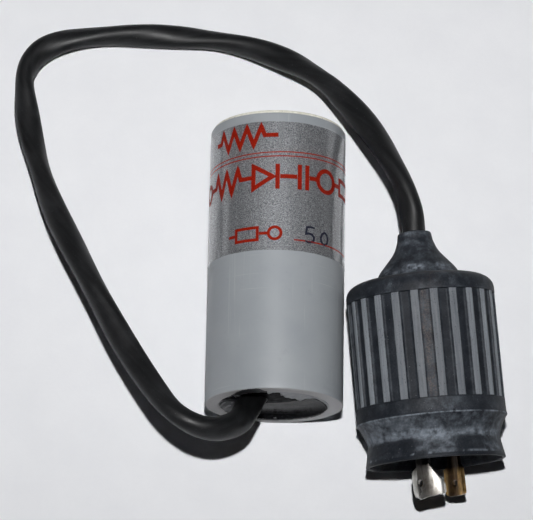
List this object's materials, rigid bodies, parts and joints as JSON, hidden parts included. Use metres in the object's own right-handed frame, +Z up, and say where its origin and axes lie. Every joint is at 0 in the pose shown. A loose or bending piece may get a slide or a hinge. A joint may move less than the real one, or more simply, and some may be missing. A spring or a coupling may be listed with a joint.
{
  "type": "corded line terminator",
  "caption": "Resistor sealed in a short grey pipe with a foil label, on a looped black lead that ends in a ribbed rubber locking plug; it loads the end of a line.",
  "frame": {"origin": "the point on the table straight below the middle of the pipe housing (closing disc included), with the cord and plug left out", "axes": "+Z up from the table that the housing lies on; +Y along the housing towards its closed end; +X to the right, towards the plug, seen from the open end"},
  "size_m": [0.1782, 0.1828, 0.0577],
  "materials": {
    "pipe_grey": "extruded rigid vinyl, satin, lightly scuffed",
    "disc_cream": "thin fibre-like plastic disc, matt",
    "foil": "metallised film, fine sparkle, red print",
    "filling": "poured resin, glossy, set with a meniscus",
    "cord_rubber": "black jacket, slight sheen",
    "boot_rubber": "moulded rubber with chalky wear",
    "insulator": "moulded phenolic",
    "nickel": "nickel plated brass, handled",
    "brass": "plain brass, tarnished",
    "screw_steel": "plated steel",
    "ceramic": "ceramic former",
    "enamel": "vitreous coating over the winding",
    "tinned": "tinned metal",
    "wire_light": "wire insulation",
    "wire_dark": "wire insulation"
  },
  "bodies": {
    "root": {"housing_tube": "pipe_grey", "end_disc": "disc_cream", "foil_label": "foil", "potting_compound": "filling", "cord_end_in_housing": "cord_rubber", "resistor_core": "ceramic", "resistor_winding": "enamel", "resistor_band_near": "tinned", "resistor_band_far": "tinned", "crimp_splices": "tinned", "conductor_light": "wire_light", "conductor_dark": "wire_dark", "lead_near": "tinned", "lead_far": "tinned", "cord": "cord_rubber", "plug_boot": "boot_rubber", "plug_face": "insulator", "plug_rear_body": "insulator", "blade_nickel": "nickel", "blade_brass": "brass", "terminal_screws": "screw_steel", "terminal_plates": "screw_steel", "body_screws": "screw_steel", "cord_clamp_upper": "insulator", "cord_clamp_lower": "insulator", "cord_clamp_screws": "screw_steel", "cord_end_in_plug": "cord_rubber", "plug_wire_light": "wire_light", "plug_wire_dark": "wire_dark"}
  },
  "joints": []
}
